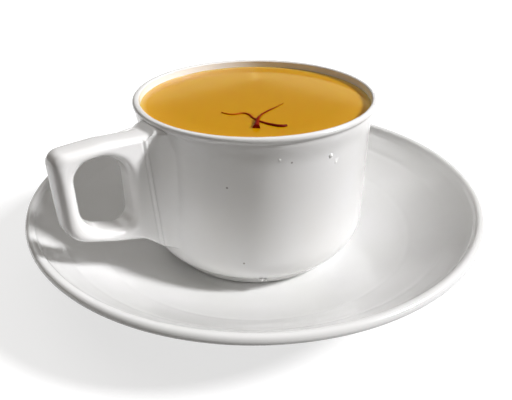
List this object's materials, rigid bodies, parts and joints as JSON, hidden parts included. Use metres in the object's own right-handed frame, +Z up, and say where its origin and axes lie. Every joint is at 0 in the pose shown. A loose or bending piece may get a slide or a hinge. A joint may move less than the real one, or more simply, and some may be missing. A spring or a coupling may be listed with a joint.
{
  "type": "cup of kahwa",
  "caption": "White glazed tea cup with a squarish loop handle, standing in a deep saucer and filled almost to the lip with golden kahwa, with crossed saffron threads on top.",
  "frame": {"origin": "middle of the underside of the saucer's foot ring, on the table", "axes": "+Z up along the common axis of saucer and cup; the cup's handle points along -X"},
  "size_m": [0.1498, 0.1498, 0.057],
  "materials": {
    "porcelain": "glossy clear glaze over a warm white body",
    "kahwa": "clear golden tea, still and glossy",
    "saffron": "wet crimson thread, paler and more orange towards one end"
  },
  "bodies": {
    "root": {"saucer": "porcelain", "cup": "porcelain", "kahwa": "kahwa", "saffron_thread_long": "saffron", "saffron_thread_short": "saffron"}
  },
  "joints": []
}
